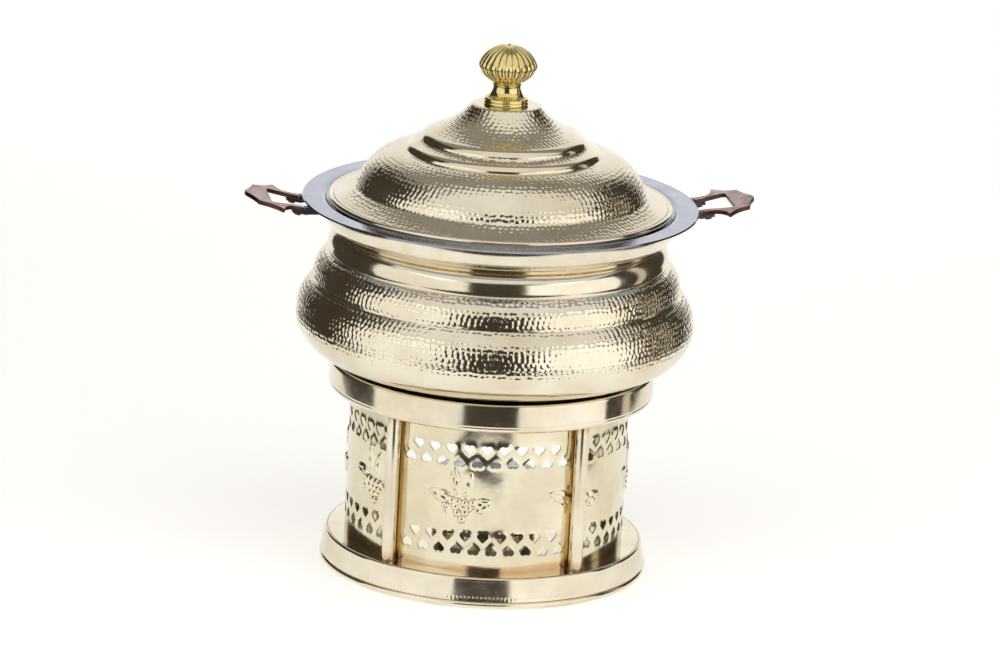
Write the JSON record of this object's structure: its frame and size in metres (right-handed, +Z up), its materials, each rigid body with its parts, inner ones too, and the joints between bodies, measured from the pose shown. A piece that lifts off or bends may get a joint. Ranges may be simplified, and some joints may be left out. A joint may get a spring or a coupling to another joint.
{
  "type": "chafing dish food warmer",
  "caption": "Spun brass chafing dish with a domed lid, steel food pan with side handles, fuel burner and a pierced round stand.",
  "frame": {"origin": "centre of the base's underside, where the rolled edge stands on the table", "axes": "+Z up along the axis of the pot and the lid; the two handles point along -X and +X"},
  "size_m": [0.4674, 0.362, 0.4864],
  "materials": {
    "spun_brass": "polished and hammered",
    "yellow_brass": "bright polished",
    "solder": "dull",
    "polished_steel": "polished",
    "dark_steel": "dull",
    "copper_cast": "satin antique",
    "burner_steel": "satin"
  },
  "bodies": {
    "stand": {"base_tray": "spun_brass", "burner_ring": "spun_brass", "shroud_left": "spun_brass", "shroud_front": "spun_brass", "shroud_right": "spun_brass", "grape_relief": "spun_brass", "leaf_relief": "spun_brass", "post_front_left": "spun_brass", "post_front_right": "spun_brass", "post_back_right": "spun_brass", "post_back_left": "spun_brass", "solder_collars": "solder", "upper_plate": "spun_brass", "top_ring": "spun_brass"},
    "pot": {"pot_body": "spun_brass", "pot_collar": "spun_brass"},
    "pan": {"food_pan": "polished_steel", "lugs_left": "dark_steel", "lugs_right": "dark_steel", "handle_left": "copper_cast", "handle_right": "copper_cast", "handle_screws": "dark_steel"},
    "lid": {"lid_shell": "spun_brass", "lid_rim": "spun_brass", "knob_foot": "yellow_brass", "knob_bulb": "yellow_brass", "knob_stud": "dark_steel", "knob_washer": "burner_steel", "knob_nut": "burner_steel"},
    "burner": {"burner_cup": "burner_steel", "burner_cap": "burner_steel", "damper_rivet": "burner_steel"},
    "damper": {"damper": "dark_steel"}
  },
  "joints": [
    {"name": "pot_lift", "type": "slide", "parent": "stand", "child": "pot", "axis": [0, 0, 1], "range_m": [0, 0.15]},
    {"name": "pan_lift", "type": "slide", "parent": "pot", "child": "pan", "axis": [0, 0, 1], "range_m": [0, 0.16]},
    {"name": "lid_lift", "type": "slide", "parent": "pan", "child": "lid", "axis": [0, 0, 1], "range_m": [0, 0.15]},
    {"name": "burner_lift", "type": "slide", "parent": "stand", "child": "burner", "axis": [0, 0, 1], "range_m": [0, 0.07]},
    {"name": "damper_swing", "type": "hinge", "parent": "burner", "child": "damper", "pos_m": [0.034, 0, 0.0845], "axis": [0, 0, 1], "range_deg": [0, 120]}
  ]
}
